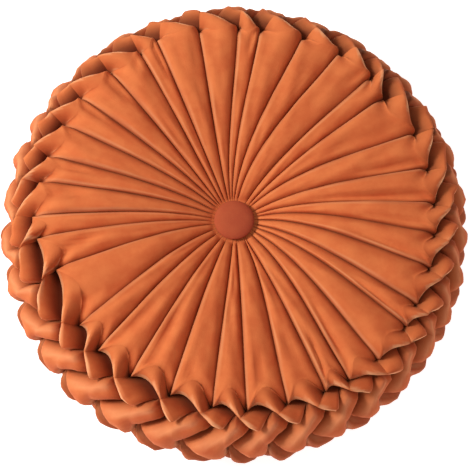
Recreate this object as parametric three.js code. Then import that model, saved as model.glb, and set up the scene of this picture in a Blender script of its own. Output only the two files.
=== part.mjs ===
import * as THREE from "three";

// Pumpkin cushion, lying on its back: millimetres, +Z up, origin at the bottom centre.
// Its cover is one tube of velvet: knife pleats gathered to a covered button on the face and on
// the back, and between them a smocked rim, whose folds pass over and under each other like a
// braid. Seen from above, the photograph's right is +X and its top is +Y.

// Driving sizes
const DIAMETER = 380;
const BUTTON_DIAMETER = 32;
const BUTTON_THICKNESS = 8.6;
const BUTTON_EDGE_SHARE = 0.42;
const BUTTON_TUCK_SHARE = 0.5;
const BUTTON_DOME_POWER = 1.15;
const SEAT_GAP = 0.3;
const GROOVE_DEPTH = 1.8;
const HUB_GROOVE_DEPTH = 3;
const RIM_GROOVE_DEPTH = 5;
const PLEAT_RISE = 5.6;
const PLEAT_RISE_PER_WIDTH = 0.34;
const PLEAT_PUFF_AT_RIM = 1.25;
const FOLD_RISE = 8.6;
const FLOOR = 0;

// How the folds are cut into faces
const CELLS_ACROSS = 4;
const ROWS_ON_FACE = 7;
const ROWS_ON_BACK = 4;
const STEPS_TO_SIDES = 0.45;
const BUTTON_SIDES = 32;
const BUTTON_EDGE_STEPS = 4;
const BUTTON_DOME_STEPS = 7;

// The cushion's half section between its creases, from the hub of the face round to the hub of
// the back. The rim's levels 0 to 7 are the stations between the two pleated sides.
const HALF_SECTION = [
  { radius: 17.6, height: 82.0, at: "hub of the face" },
  { radius: 38.0, height: 89.5, at: "slope of the dimple" },
  { radius: 62.0, height: 95.5, at: "slope of the dimple" },
  { radius: 88.0, height: 99.2, at: "crown" },
  { radius: 114.0, height: 100.0, at: "crown" },
  { radius: 139.0, height: 98.5, at: "shoulder" },
  { radius: 161.5, height: 94.0, at: "level 0, ends of the creases" },
  { radius: 169.5, height: 88.0, at: "level 1, tips of the scallops" },
  { radius: 176.5, height: 76.5, at: "level 2" },
  { radius: 181.5, height: 60.0, at: "level 3" },
  { radius: 181.5, height: 38.0, at: "level 4" },
  { radius: 174.5, height: 22.0, at: "level 5" },
  { radius: 165.5, height: 12.5, at: "level 6, tips of the back's scallops" },
  { radius: 155.0, height: 6.5, at: "level 7, ends of the creases on the back" },
  { radius: 136.0, height: 1.4, at: "edge of the flat of the back" },
  { radius: 112.0, height: 0.6, at: "flat of the back" },
  { radius: 88.0, height: 0.6, at: "flat of the back" },
  { radius: 62.0, height: 1.6, at: "edge of the flat of the back" },
  { radius: 38.0, height: 6.5, at: "slope of the back's dimple" },
  { radius: 17.6, height: 12.0, at: "hub of the back" },
];
const FACE_STATION = 6;
const BACK_STATION = 13;
const LAST_STATION = HALF_SECTION.length - 1;

// A row for each crease, counter-clockwise from +X, in degrees: where it starts at the rim, where
// the pleat before it has its tip, where the rim's flap beside it ends, the levels of these three,
// where the crease meets the button, how far the pleat after it swells and which side of that
// pleat lies on top (1 far, -1 near).
const FOLDS = [
  { rim: -4.5, tip: -7.5, end: -1, levels: [0.2, 0.7, 2], hub: 13, swell: 0.95, lap: 1 },
  { rim: 4.5, tip: 2, end: 10, levels: [0.2, 0.9, 2.3], hub: 18, swell: 0.9, lap: 1 },
  { rim: 15, tip: 13, end: 22, levels: [0.2, 1.2, 2.4], hub: 28, swell: 0.95, lap: 1 },
  { rim: 26, tip: 24.5, end: 33, levels: [0.3, 1.3, 2.4], hub: 43, swell: 1.1, lap: 1 },
  { rim: 40, tip: 35.5, end: 43, levels: [-0.1, 0.7, 2.4], hub: 49, swell: 0.85, lap: 1 },
  { rim: 47, tip: 45.5, end: 49.5, levels: [0.3, 0.8, 2.2], hub: 59, swell: 0.95, lap: 1 },
  { rim: 58.5, tip: 54.5, end: 59.5, levels: [0.5, 0.8, 2.4], hub: 82, swell: 1.0, lap: 1 },
  { rim: 70, tip: 66.5, end: 71, levels: [0.4, 0.7, 2.3], hub: 90, swell: 1.05, lap: 1 },
  { rim: 82.5, tip: 78, end: 82.5, levels: [0.2, 0.9, 2.4], hub: 95, swell: 0.85, lap: 1 },
  { rim: 89, tip: 88, end: 91.5, levels: [0.2, 1.2, 2.4], hub: 100, swell: 0.95, lap: 1 },
  { rim: 100.5, tip: 99, end: 102.5, levels: [0.3, 1.3, 2.4], hub: 105.5, swell: 1.05, lap: 1 },
  { rim: 113, tip: 109, end: 112, levels: [0.6, 1.3, 2.2], hub: 114.5, swell: 0.8, lap: 1 },
  { rim: 119, tip: 119, end: 122, levels: [0.1, 1.4, 2.3], hub: 122, swell: 0.9, lap: 1 },
  { rim: 129.5, tip: 129.5, end: 133, levels: [0.1, 1.2, 2.1], hub: 130, swell: 1.05, lap: 1 },
  { rim: 141, tip: 140, end: 143.5, levels: [0.2, 1, 1.9], hub: 134.5, swell: 0.9, lap: 1 },
  { rim: 150.5, tip: 149.5, end: 153, levels: [0, 0.7, 1.7], hub: 141, swell: 1.0, lap: 1 },
  { rim: 161, tip: 159.5, end: 163, levels: [0, 0.8, 1.7], hub: 151, swell: 0.85, lap: 1 },
  { rim: 169, tip: 170, end: 175.5, levels: [0, 0.9, 1.9], hub: 161.5, swell: 1.05, lap: 1 },
  { rim: 179.5, tip: 179.5, end: 186.5, levels: [0.2, 1.3, 2.2], hub: 172.5, swell: 0.85, lap: -1 },
  { rim: 186, tip: 189.5, end: 197.5, levels: [0, 0.9, 1.8], hub: 180, swell: 1.0, lap: -1 },
  { rim: 196.5, tip: 200, end: 209, levels: [-0.5, 0, 1.5], hub: 189, swell: 1.0, lap: -1 },
  { rim: 215.5, tip: 212.5, end: 218.5, levels: [-0.4, 0, 1.2], hub: 203, swell: 1.05, lap: -1 },
  { rim: 225, tip: 223, end: 230, levels: [-0.3, 0, 1.2], hub: 217, swell: 0.95, lap: -1 },
  { rim: 237.5, tip: 234, end: 242, levels: [-0.3, 0, 1.3], hub: 233, swell: 1.1, lap: -1 },
  { rim: 250.5, tip: 248.5, end: 253.5, levels: [-0.3, -0.1, 1.2], hub: 247, swell: 1.0, lap: -1 },
  { rim: 263.5, tip: 260, end: 267, levels: [-0.2, 0, 1.1], hub: 266, swell: 0.95, lap: -1 },
  { rim: 273.5, tip: 271, end: 276.5, levels: [-0.1, 0.1, 1.3], hub: 276, swell: 1.15, lap: -1 },
  { rim: 285.5, tip: 281.5, end: 287, levels: [-0.1, 0.1, 1.5], hub: 298, swell: 0.85, lap: -1 },
  { rim: 297, tip: 292, end: 297.5, levels: [0, 0.3, 1.5], hub: 302, swell: 1.1, lap: -1 },
  { rim: 304.5, tip: 302, end: 307.5, levels: [0.1, 0.3, 1.7], hub: 321, swell: 0.9, lap: -1 },
  { rim: 314.5, tip: 313, end: 318, levels: [0.3, 1.2, 2.1], hub: 332, swell: 1.1, lap: -1 },
  { rim: 327, tip: 322.5, end: 329, levels: [0.4, 0.8, 2], hub: 343, swell: 0.9, lap: -1 },
  { rim: 334, tip: 332, end: 338, levels: [0.2, 0.8, 2.2], hub: 351, swell: 1.05, lap: -1 },
  { rim: 345.5, tip: 342, end: 349, levels: [0.2, 0.7, 2.2], hub: 364, swell: 0.95, lap: -1 },
];
const PLEATS = FOLDS.length;

// The back is gathered evenly, a little turned from the rim
const BACK_TURN = -14;
const BACK_SWELL = 0.9;
const BACK_LAP = -1;
const BEND_POWER = 2.2;

// The rings of corners between the rim's folds: the column of the table of creases that gives
// their angles, their place there in pleats, their level (none where the table has it), and how
// far a corner strays from there in pleats and in levels. The back's half of the rim is the face's
// half turned over.
const OVERLAP = 0.17;
const CORNER_RINGS = [
  { column: "rim", place: 0, stray: 0, drift: 0 },
  { column: "tip", place: 0, stray: 0, drift: 0 },
  { column: "end", place: 0, stray: 0, drift: 0 },
  { column: "end", place: OVERLAP - 1, level: 3, stray: 0.06, drift: 0.12 },
  { column: "end", place: OVERLAP, level: 4, stray: 0.06, drift: 0.12 },
  { column: "end", place: 2 * OVERLAP - 1, level: 5, stray: 0.06, drift: 0.16 },
  { column: "end", place: 0.09, level: 6, stray: 0.08, drift: 0.1 },
  { column: "end", place: -0.16, level: 7, stray: 0, drift: 0 },
];
const TIP_RING = 1;
const BACK_TIP_RING = 6;
const END_RING = 7;
const BACK_PLACE = CORNER_RINGS[END_RING].place;

// Three kinds of fold make each half of the rim. A pleat goes on as a flap, which runs to the
// right and dives under an arm. The arm comes out from under the next flap, runs to the left and
// goes on as a lobe, which ends over the rim's middle. Each row gives a kind's lean (1 runs to the
// right, -1 to the left), at which end it is joined to its neighbour, and over what share of its
// length it drops at the free end. A flap has the section of the pleat's neck; an arm and a lobe
// give how high they stand near their first side, in their middle and near their far side.
const FOLD_KINDS = {
  flap: { lean: 1, joined: "start", drop: 0.25 },
  arm: { lean: -1, near: 1, mid: 0.8, far: 0.4, joined: "end", drop: 0.35 },
  lobe: { lean: -1, near: 0.9, mid: 1, far: 0.8, joined: "start", drop: 0.3 },
};

// A row for each ring of folds: its kind, its lowest ring of corners, the steps from its own
// number to its left corner and to the pleat whose swell it shares, and whether it is turned over
const RIM_ROWS = [
  { kind: "flap", ring: 0, left: 0, band: 0, turned: false },
  { kind: "arm", ring: 1, left: -1, band: 0, turned: false },
  { kind: "lobe", ring: 2, left: 0, band: 1, turned: false },
  { kind: "lobe", ring: 3, left: -1, band: -1, turned: true },
  { kind: "arm", ring: 4, left: 0, band: 0, turned: true },
  { kind: "flap", ring: 5, left: -1, band: 0, turned: true },
];
const SWELL_AT_RIM = 0.6;

// Corners stray by fixed uneven values, which a fast wave gives
const WAVE_PER_FOLD = 12.9898;
const WAVE_PER_RING = 78.233;
const WAVE_PER_KIND = 37.719;
const WAVE_HEIGHT = 43758.5453;

// Shapes of the sections: the higher a power, the steeper the sides and the flatter the top
const PLEAT_CREST = 0.74;
const NECK_CREST = 0.84;
const NECK_POWER = 1.6;
const ROUND_POWER = 2.4;
const CREST_POWER = 3;
const STEEP_POWER = 5;
const CREST_FAR_SIDE = 0.75;
const JOINT_REACH = 0.5;

// Where a pleat's section and depth change, in shares of the way from the rim to the button
const PUFF_REACH = 0.2;
const PIT_REACH = 0.1;
const HUB_GROOVE_START = 0.35;
const HUB_GROOVE_REACH = 0.5;
const FADE_START = 0.8;

// A pleat's outer edge arches inwards on its way to the tip, most on the near side, and the line
// where its outer end starts bends inwards further
const ARCH_FAR = 0.15;
const ARCH_NEAR = 0.36;
const ARCH_LEAN = 0.9;
const EDGE_START = 0.3;
const SHOULDER = 0.35;
const SHOULDER_PER_ARCH = 1.2;

const mix = (a, b, share) => a + (b - a) * share;
const smooth = (share) => THREE.MathUtils.smoothstep(share, 0, 1);

// Steps across a fold sit closer together near its two sides, where it rolls over
const step = (k, count) => mix(k / count, smooth(k / count), STEPS_TO_SIDES);

const sectionCurve = new THREE.SplineCurve(
  HALF_SECTION.map((station) => new THREE.Vector2(station.radius, station.height)),
);

// The point of the half section at a station and the outward normal there
function sectionAt(station) {
  const share = THREE.MathUtils.clamp(station / LAST_STATION, 0, 1);
  const point = sectionCurve.getPoint(share);
  const tangent = sectionCurve.getTangent(share);
  return { point, normal: new THREE.Vector2(-tangent.y, tangent.x) };
}

// The row of the table of creases for any number, going round
const foldOf = (index) => FOLDS[((index % PLEATS) + PLEATS) % PLEATS];

// An angle of the table of creases at a place counted in creases, going on past a full turn
function angleAt(column, place) {
  const low = Math.floor(place);
  const angle = (k) => foldOf(k)[column] + 360 * Math.floor(k / PLEATS);
  return mix(angle(low), angle(low + 1), place - low);
}

// A fixed uneven value between -1 and 1 for a corner
function strayOf(index, ring, kind) {
  const turn = index * WAVE_PER_FOLD + ring * WAVE_PER_RING + kind * WAVE_PER_KIND;
  const wave = Math.sin(turn) * WAVE_HEIGHT;
  return 2 * (wave - Math.floor(wave)) - 1;
}

// Angle and level of one corner of the rim
function corner(ring, index) {
  const { column, place, level, stray, drift } = CORNER_RINGS[ring];
  const own = ((index % PLEATS) + PLEATS) % PLEATS;
  return {
    angle: angleAt(column, index + place + stray * strayOf(own, ring, 1)),
    level: level === undefined ? foldOf(own).levels[ring] : level + drift * strayOf(own, ring, 2),
  };
}

const mixCorners = (a, b, share) => ({
  angle: mix(a.angle, b.angle, share),
  level: mix(a.level, b.level, share),
});

// A point of the cover: angle in degrees, station of the half section, height over the crease
// surface. What would pass through the floor is pressed flat on it.
function coverPoint(angle, station, lift) {
  const { point, normal } = sectionAt(station);
  const radius = point.x + normal.x * lift;
  const turn = THREE.MathUtils.degToRad(angle);
  const height = Math.max(FLOOR, point.y + normal.y * lift);
  return [radius * Math.cos(turn), radius * Math.sin(turn), height];
}

// A section with upright round sides and a flat top
const steepSides = (across, power) => Math.sqrt(Math.max(0, 1 - Math.abs(2 * across - 1) ** power));

// A slow rise from the side that lies under to the crest and a short round drop
function knifeSection(across, crest, power) {
  if (across < crest) {
    return 1 - (1 - across / crest) ** power;
  }
  return Math.sqrt(Math.max(0, 1 - ((across - crest) / (1 - crest)) ** 2));
}

// Section of a knife pleat, which puffs up round toward the rim
function pleatSection(across, lap, inward) {
  const knife = knifeSection(lap > 0 ? across : 1 - across, PLEAT_CREST, 2);
  return mix(steepSides(across, ROUND_POWER), knife, smooth(inward / PUFF_REACH));
}

// Section of the neck where a pleat turns into a flap: low beside the crease's end, high at the
// pleat's outer edge
const neckSection = (across) => knifeSection(across, NECK_CREST, NECK_POWER);

// Section of the crest where an arm turns into a lobe
const crestSection = (across) => steepSides(across, CREST_POWER) * mix(1, CREST_FAR_SIDE, across);

// Section of a rim fold: two steep sides, each with its own height, and a slope between
function foldSection(across, kind) {
  if (kind.lean > 0) {
    return neckSection(across);
  }
  const sides = mix(kind.near, kind.far, smooth(across));
  return steepSides(across, STEEP_POWER) * mix(sides, kind.mid, Math.sin(Math.PI * across) ** 2);
}

// Share of a rim fold's height: its own section, the shared one at its joined end, and a drop at
// its free end
function foldShare(kind, along, across) {
  const fromFree = kind.joined === "start" ? 1 - along : along;
  const joint = kind.lean > 0 ? neckSection(across) : crestSection(across);
  const section = mix(joint, foldSection(across, kind), smooth((1 - fromFree) / JOINT_REACH));
  if (kind.joined === "end") {
    return section * smooth(fromFree / kind.drop);
  }
  return section * steepSides(Math.min(0.5, fromFree / kind.drop / 2), 2);
}

// Lift of a rim fold over the crease surface, for the share of its height
function foldLift(index, share) {
  const swell = mix(1, foldOf(index).swell, SWELL_AT_RIM);
  return mix(-RIM_GROOVE_DEPTH, FOLD_RISE * swell, share);
}

// How far, in levels, a pleat's outer edge arches inwards: most on the near side
function archHeight(index) {
  const near = (1 - Math.sin(THREE.MathUtils.degToRad(foldOf(index).rim))) / 2;
  return mix(ARCH_FAR, ARCH_NEAR, near);
}

// The level of a pleat's outer edge from the straight line between its crease and its tip
const arch = (index, along) => -archHeight(index) * Math.sin(Math.PI * along ** ARCH_LEAN);

// How far, in levels, the line where a pleat's outer end starts bends inwards
const inset = (index, across) =>
  (SHOULDER + SHOULDER_PER_ARCH * archHeight(index)) * Math.sin(Math.PI * across);

// The surface collects its points by place, so patches that share an edge share its points
class Surface {
  constructor() {
    this.points = [];
    this.index = [];
    this.found = new Map();
  }

  add(point) {
    const key = point.map((value) => Math.round(value * 1000)).join();
    if (!this.found.has(key)) {
      this.found.set(key, this.points.length / 3);
      this.points.push(...point);
    }
    return this.found.get(key);
  }

  triangle(a, b, c) {
    if (a !== b && b !== c && c !== a) {
      this.index.push(a, b, c);
    }
  }

  // A patch of rows and columns of points; flip turns its faces over
  patch(columns, rows, pointAt, flip) {
    const grid = [];
    for (let i = 0; i <= columns; i += 1) {
      grid.push([]);
      for (let k = 0; k <= rows; k += 1) {
        grid[i].push(this.add(pointAt(i, k)));
      }
    }
    for (let i = 0; i < columns; i += 1) {
      for (let k = 0; k < rows; k += 1) {
        const [a, b, c, d] = [grid[i][k], grid[i + 1][k], grid[i + 1][k + 1], grid[i][k + 1]];
        if (flip) {
          this.triangle(a, c, b);
          this.triangle(a, d, c);
        } else {
          this.triangle(a, b, c);
          this.triangle(a, c, d);
        }
      }
    }
  }

  geometry() {
    const geometry = new THREE.BufferGeometry();
    geometry.setAttribute("position", new THREE.Float32BufferAttribute(this.points, 3));
    geometry.setIndex(this.index);
    return geometry;
  }
}

// Creases bend toward their places at the button in the inner part of the radius
const bendShare = (inward) => inward ** BEND_POWER;

function faceAngle(place, inward) {
  return mix(angleAt("rim", place), angleAt("hub", place), bendShare(inward));
}

function backAngle(place, inward) {
  const hub = (place * 360) / PLEATS + BACK_TURN;
  return mix(angleAt("end", place + BACK_PLACE), hub, bendShare(inward));
}

// Depth of a crease: shallow over the crown, deeper toward the rim's pits and the button
function grooveDepth(inward) {
  const towardRim = mix(RIM_GROOVE_DEPTH, GROOVE_DEPTH, smooth(inward / PIT_REACH));
  return mix(towardRim, HUB_GROOVE_DEPTH, smooth((inward - HUB_GROOVE_START) / HUB_GROOVE_REACH));
}

// Grooves and pleats run out flat where they reach the button
const fadeAtButton = (inward) => 1 - smooth((inward - FADE_START) / (1 - FADE_START));

// Lift of a pleat over the crease surface: as high as its width allows
function pleatLift(sideAngle, first, across, inward, station, swell, lap) {
  const span = sideAngle(first + 1, inward) - sideAngle(first, inward);
  const width = THREE.MathUtils.degToRad(span) * sectionAt(station).point.x;
  const puff = mix(PLEAT_PUFF_AT_RIM, 1, smooth(inward / PUFF_REACH));
  const rise = Math.min(PLEAT_RISE, PLEAT_RISE_PER_WIDTH * width) * swell * puff;
  return mix(-grooveDepth(inward), rise, pleatSection(across, lap, inward)) * fadeAtButton(inward);
}

// One pleat of the face, from its outer end in to the button
function addFacePleat(surface, index) {
  const { swell, lap } = FOLDS[index];
  const pointAt = (i, k) => {
    const across = step(i, CELLS_ACROSS);
    const inward = k / ROWS_ON_FACE;
    const start = mixCorners(corner(0, index), corner(0, index + 1), across).level;
    const station = (FACE_STATION + start - inset(index, across)) * (1 - inward);
    const lift = pleatLift(faceAngle, index, across, inward, station, swell, lap);
    return coverPoint(mix(faceAngle(index, inward), faceAngle(index + 1, inward), across), station, lift);
  };
  surface.patch(CELLS_ACROSS, ROWS_ON_FACE, pointAt, false);
}

// One pleat of the back, from its outer end in to the back button
function addBackPleat(surface, index) {
  const pointAt = (i, k) => {
    const across = step(i, CELLS_ACROSS);
    const inward = k / ROWS_ON_BACK;
    const station = mix(BACK_STATION + inset(index + 1, across), LAST_STATION, inward);
    const lift = pleatLift(backAngle, index, across, inward, station, BACK_SWELL, BACK_LAP);
    return coverPoint(mix(backAngle(index, inward), backAngle(index + 1, inward), across), station, lift);
  };
  surface.patch(CELLS_ACROSS, ROWS_ON_BACK, pointAt, true);
}

// A point of the outer end of a pleat, which narrows to a neck at one side, where the rim's flap
// goes on. The end is given by its corners (start of the outer edge, start of the neck, tip), the
// share of the way from the neck, and the bends in levels of the outer edge and of the line where
// the end starts.
function scallopPoint(end, along) {
  const line = mixCorners(end.neck, end.start, end.fromNeck);
  const neckLine = mixCorners(end.neck, end.tip, end.fromNeck);
  const startLevel = line.level + end.inset;
  const level = mix(startLevel, neckLine.level, along) + end.fromNeck * end.arch;
  const crisp = mix(-RIM_GROOVE_DEPTH, end.rise, steepSides(end.fromNeck, STEEP_POWER));
  const pleat = mix(end.lift(FACE_STATION + startLevel), crisp, smooth(along / EDGE_START));
  const neck = foldLift(end.flap, neckSection(end.fromNeck));
  const angle = mix(line.angle, neckLine.angle, along);
  return coverPoint(angle, FACE_STATION + level, mix(pleat, neck, smooth(along)));
}

function addFaceScallop(surface, index) {
  const { swell, lap } = FOLDS[index];
  const pointAt = (i, k) => {
    const across = step(i, CELLS_ACROSS);
    const along = step(k, CELLS_ACROSS);
    const end = {
      start: corner(0, index),
      neck: corner(0, index + 1),
      tip: corner(TIP_RING, index + 1),
      fromNeck: 1 - across,
      flap: index + 1,
      arch: arch(index, along),
      inset: -inset(index, across),
      rise: PLEAT_RISE * PLEAT_PUFF_AT_RIM * swell,
      lift: (station) => pleatLift(faceAngle, index, across, 0, station, swell, lap),
    };
    return scallopPoint(end, along);
  };
  surface.patch(CELLS_ACROSS, CELLS_ACROSS, pointAt, true);
}

function addBackScallop(surface, index) {
  const pointAt = (i, k) => {
    const across = step(i, CELLS_ACROSS);
    const along = step(k, CELLS_ACROSS);
    const end = {
      start: corner(END_RING, index + 1),
      neck: corner(END_RING, index),
      tip: corner(BACK_TIP_RING, index),
      fromNeck: across,
      flap: index,
      arch: -arch(index + 1, along),
      inset: inset(index + 1, across),
      rise: PLEAT_RISE * PLEAT_PUFF_AT_RIM * BACK_SWELL,
      lift: (station) => pleatLift(backAngle, index, across, 0, station, BACK_SWELL, BACK_LAP),
    };
    return scallopPoint(end, along);
  };
  surface.patch(CELLS_ACROSS, CELLS_ACROSS, pointAt, false);
}

// One fold of the rim, running from corner to corner with its lean
function addRimFold(surface, row, index) {
  const kind = FOLD_KINDS[row.kind];
  const bottom = corner(row.ring, index);
  const left = corner(row.ring + 1, index + row.left);
  const right = corner(row.ring + 1, index + row.left + 1);
  const top = corner(row.ring + 2, index);
  const pointAt = (i, k) => {
    const along = step(i, CELLS_ACROSS);
    const across = step(k, CELLS_ACROSS);
    const [run, aside] = row.turned ? [1 - along, 1 - across] : [along, across];
    const [toRight, toLeft] = kind.lean > 0 ? [run, aside] : [aside, run];
    const lowSide = mixCorners(bottom, right, toRight);
    const highSide = mixCorners(left, top, toRight);
    const spot = mixCorners(lowSide, highSide, toLeft);
    if (kind.lean > 0) {
      spot.level += (row.turned ? -1 : 1) * (1 - across) * arch(index, along);
    }
    const lift = foldLift(index + row.band, foldShare(kind, along, across));
    return coverPoint(spot.angle, FACE_STATION + spot.level, lift);
  };
  surface.patch(CELLS_ACROSS, CELLS_ACROSS, pointAt, kind.lean > 0);
}

// The flat disc that a button is seated on
function addHub(surface, sideAngle, station, flip) {
  const centre = surface.add([0, 0, HALF_SECTION[station].height]);
  const edgePoint = (index, k) => {
    const across = step(k, CELLS_ACROSS);
    const angle = mix(sideAngle(index, 1), sideAngle(index + 1, 1), across);
    return surface.add(coverPoint(angle, station, 0));
  };
  for (let index = 0; index < PLEATS; index += 1) {
    for (let i = 0; i < CELLS_ACROSS; i += 1) {
      const [a, b] = [edgePoint(index, i), edgePoint(index, i + 1)];
      surface.triangle(centre, flip ? b : a, flip ? a : b);
    }
  }
}

function cushionGeometry() {
  const surface = new Surface();
  for (let index = 0; index < PLEATS; index += 1) {
    addFacePleat(surface, index);
    addFaceScallop(surface, index);
    RIM_ROWS.forEach((row) => addRimFold(surface, row, index));
    addBackScallop(surface, index);
    addBackPleat(surface, index);
  }
  addHub(surface, faceAngle, 0, false);
  addHub(surface, backAngle, LAST_STATION, true);
  return surface.geometry();
}

// A covered button: a flat seat, a rolled edge and a low dome, its axis on Z and its seat at 0
function buttonGeometry() {
  const radius = BUTTON_DIAMETER / 2;
  const edge = BUTTON_THICKNESS * BUTTON_EDGE_SHARE;
  const tuck = edge * BUTTON_TUCK_SHARE;
  const profile = [new THREE.Vector2(0, 0)];
  for (let k = 0; k <= BUTTON_EDGE_STEPS; k += 1) {
    const turn = (Math.PI / 2) * (k / BUTTON_EDGE_STEPS);
    profile.push(new THREE.Vector2(radius - tuck * (1 - Math.sin(turn)), edge * (1 - Math.cos(turn))));
  }
  for (let k = 1; k <= BUTTON_DOME_STEPS; k += 1) {
    const turn = (Math.PI / 2) * (k / BUTTON_DOME_STEPS);
    const reach = k < BUTTON_DOME_STEPS ? radius * Math.cos(turn) : 0;
    const height = mix(edge, BUTTON_THICKNESS, Math.sin(turn) ** BUTTON_DOME_POWER);
    profile.push(new THREE.Vector2(reach, height));
  }
  return new THREE.LatheGeometry(profile, BUTTON_SIDES).rotateX(Math.PI / 2);
}

const velvet = new THREE.MeshStandardMaterial({ color: 0xd67444, roughness: 0.85, metalness: 0 });
const buttonVelvet = new THREE.MeshStandardMaterial({ color: 0xb04b32, roughness: 0.9, metalness: 0 });

// The cushion's plan box is fitted to its diameter and centred on the origin
const body = new THREE.Mesh(cushionGeometry(), velvet);
body.name = "cushion_body";
body.geometry.computeBoundingBox();
const box = body.geometry.boundingBox;
const middle = box.getCenter(new THREE.Vector3());
const size = box.getSize(new THREE.Vector3());
const fit = DIAMETER / Math.max(size.x, size.y);
body.geometry.translate(-middle.x, -middle.y, 0).scale(fit, fit, 1);
body.geometry.computeVertexNormals();

const hub = new THREE.Vector2(-middle.x * fit, -middle.y * fit);
const frontButton = new THREE.Mesh(buttonGeometry(), buttonVelvet);
frontButton.name = "front_button";
frontButton.position.set(hub.x, hub.y, HALF_SECTION[0].height + SEAT_GAP);

const backButton = new THREE.Mesh(buttonGeometry(), buttonVelvet);
backButton.name = "back_button";
backButton.rotation.x = Math.PI;
backButton.position.set(hub.x, hub.y, HALF_SECTION[LAST_STATION].height - SEAT_GAP);

const cushion = new THREE.Group();
cushion.add(body, frontButton, backButton);

export default cushion;
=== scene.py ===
import math

import bpy
import numpy as np
from bpy.props import FloatProperty, FloatVectorProperty, IntProperty, PointerProperty, StringProperty
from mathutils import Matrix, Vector, noise


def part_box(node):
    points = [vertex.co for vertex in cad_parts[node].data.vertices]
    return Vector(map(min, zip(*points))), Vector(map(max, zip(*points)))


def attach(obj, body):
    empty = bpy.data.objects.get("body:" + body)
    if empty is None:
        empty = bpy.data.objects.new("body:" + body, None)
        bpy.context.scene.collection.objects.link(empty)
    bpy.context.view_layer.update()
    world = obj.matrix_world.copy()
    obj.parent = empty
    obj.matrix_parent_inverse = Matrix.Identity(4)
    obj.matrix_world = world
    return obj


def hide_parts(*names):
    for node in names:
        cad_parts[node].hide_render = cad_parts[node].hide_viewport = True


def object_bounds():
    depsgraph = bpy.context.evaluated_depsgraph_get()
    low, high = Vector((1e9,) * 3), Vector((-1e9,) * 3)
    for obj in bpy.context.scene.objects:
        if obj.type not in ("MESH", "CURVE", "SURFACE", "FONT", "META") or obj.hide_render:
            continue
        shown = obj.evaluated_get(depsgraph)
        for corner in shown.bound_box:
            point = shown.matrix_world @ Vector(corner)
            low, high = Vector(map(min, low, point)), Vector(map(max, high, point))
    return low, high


bl_info = {
    "name": "Pumpkin cushion",
    "version": (1, 0, 0),
    "blender": (4, 5, 0),
    "location": "3D View > Sidebar > Cushion",
    "description": "A round velvet cushion with knife pleats, covered buttons and a smocked rim",
    "category": "Add Mesh",
}

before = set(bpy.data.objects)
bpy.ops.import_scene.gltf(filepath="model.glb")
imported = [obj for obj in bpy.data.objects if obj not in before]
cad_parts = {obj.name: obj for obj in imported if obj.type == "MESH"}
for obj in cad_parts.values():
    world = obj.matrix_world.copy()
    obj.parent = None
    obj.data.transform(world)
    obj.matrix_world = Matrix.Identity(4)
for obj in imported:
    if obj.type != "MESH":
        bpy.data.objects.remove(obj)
CAD_BOX = [[float(value) for value in corner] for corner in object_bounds()]

MM = 0.001

# The cushion's half section between its creases in millimetres, from the hub of the face round to
# the hub of the back. The rim's levels 0 to 7 are the stations between the two pleated sides.
HALF_SECTION = [
    {"radius": 17.6, "height": 82.0, "at": "hub of the face"},
    {"radius": 38.0, "height": 89.5, "at": "slope of the dimple"},
    {"radius": 62.0, "height": 95.5, "at": "slope of the dimple"},
    {"radius": 88.0, "height": 99.2, "at": "crown"},
    {"radius": 114.0, "height": 100.0, "at": "crown"},
    {"radius": 139.0, "height": 98.5, "at": "shoulder"},
    {"radius": 161.5, "height": 94.0, "at": "level 0, ends of the creases"},
    {"radius": 169.5, "height": 88.0, "at": "level 1, tips of the scallops"},
    {"radius": 176.5, "height": 76.5, "at": "level 2"},
    {"radius": 181.5, "height": 60.0, "at": "level 3"},
    {"radius": 181.5, "height": 38.0, "at": "level 4"},
    {"radius": 174.5, "height": 22.0, "at": "level 5"},
    {"radius": 165.5, "height": 12.5, "at": "level 6, tips of the back's scallops"},
    {"radius": 155.0, "height": 6.5, "at": "level 7, ends of the creases on the back"},
    {"radius": 136.0, "height": 1.4, "at": "edge of the flat of the back"},
    {"radius": 112.0, "height": 0.6, "at": "flat of the back"},
    {"radius": 88.0, "height": 0.6, "at": "flat of the back"},
    {"radius": 62.0, "height": 1.6, "at": "edge of the flat of the back"},
    {"radius": 38.0, "height": 6.5, "at": "slope of the back's dimple"},
    {"radius": 17.6, "height": 12.0, "at": "hub of the back"},
]
RADII = [station["radius"] for station in HALF_SECTION]
HEIGHTS = [station["height"] for station in HALF_SECTION]
FACE_STATION = 6
BACK_STATION = 13
LAST_STATION = len(HALF_SECTION) - 1

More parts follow.
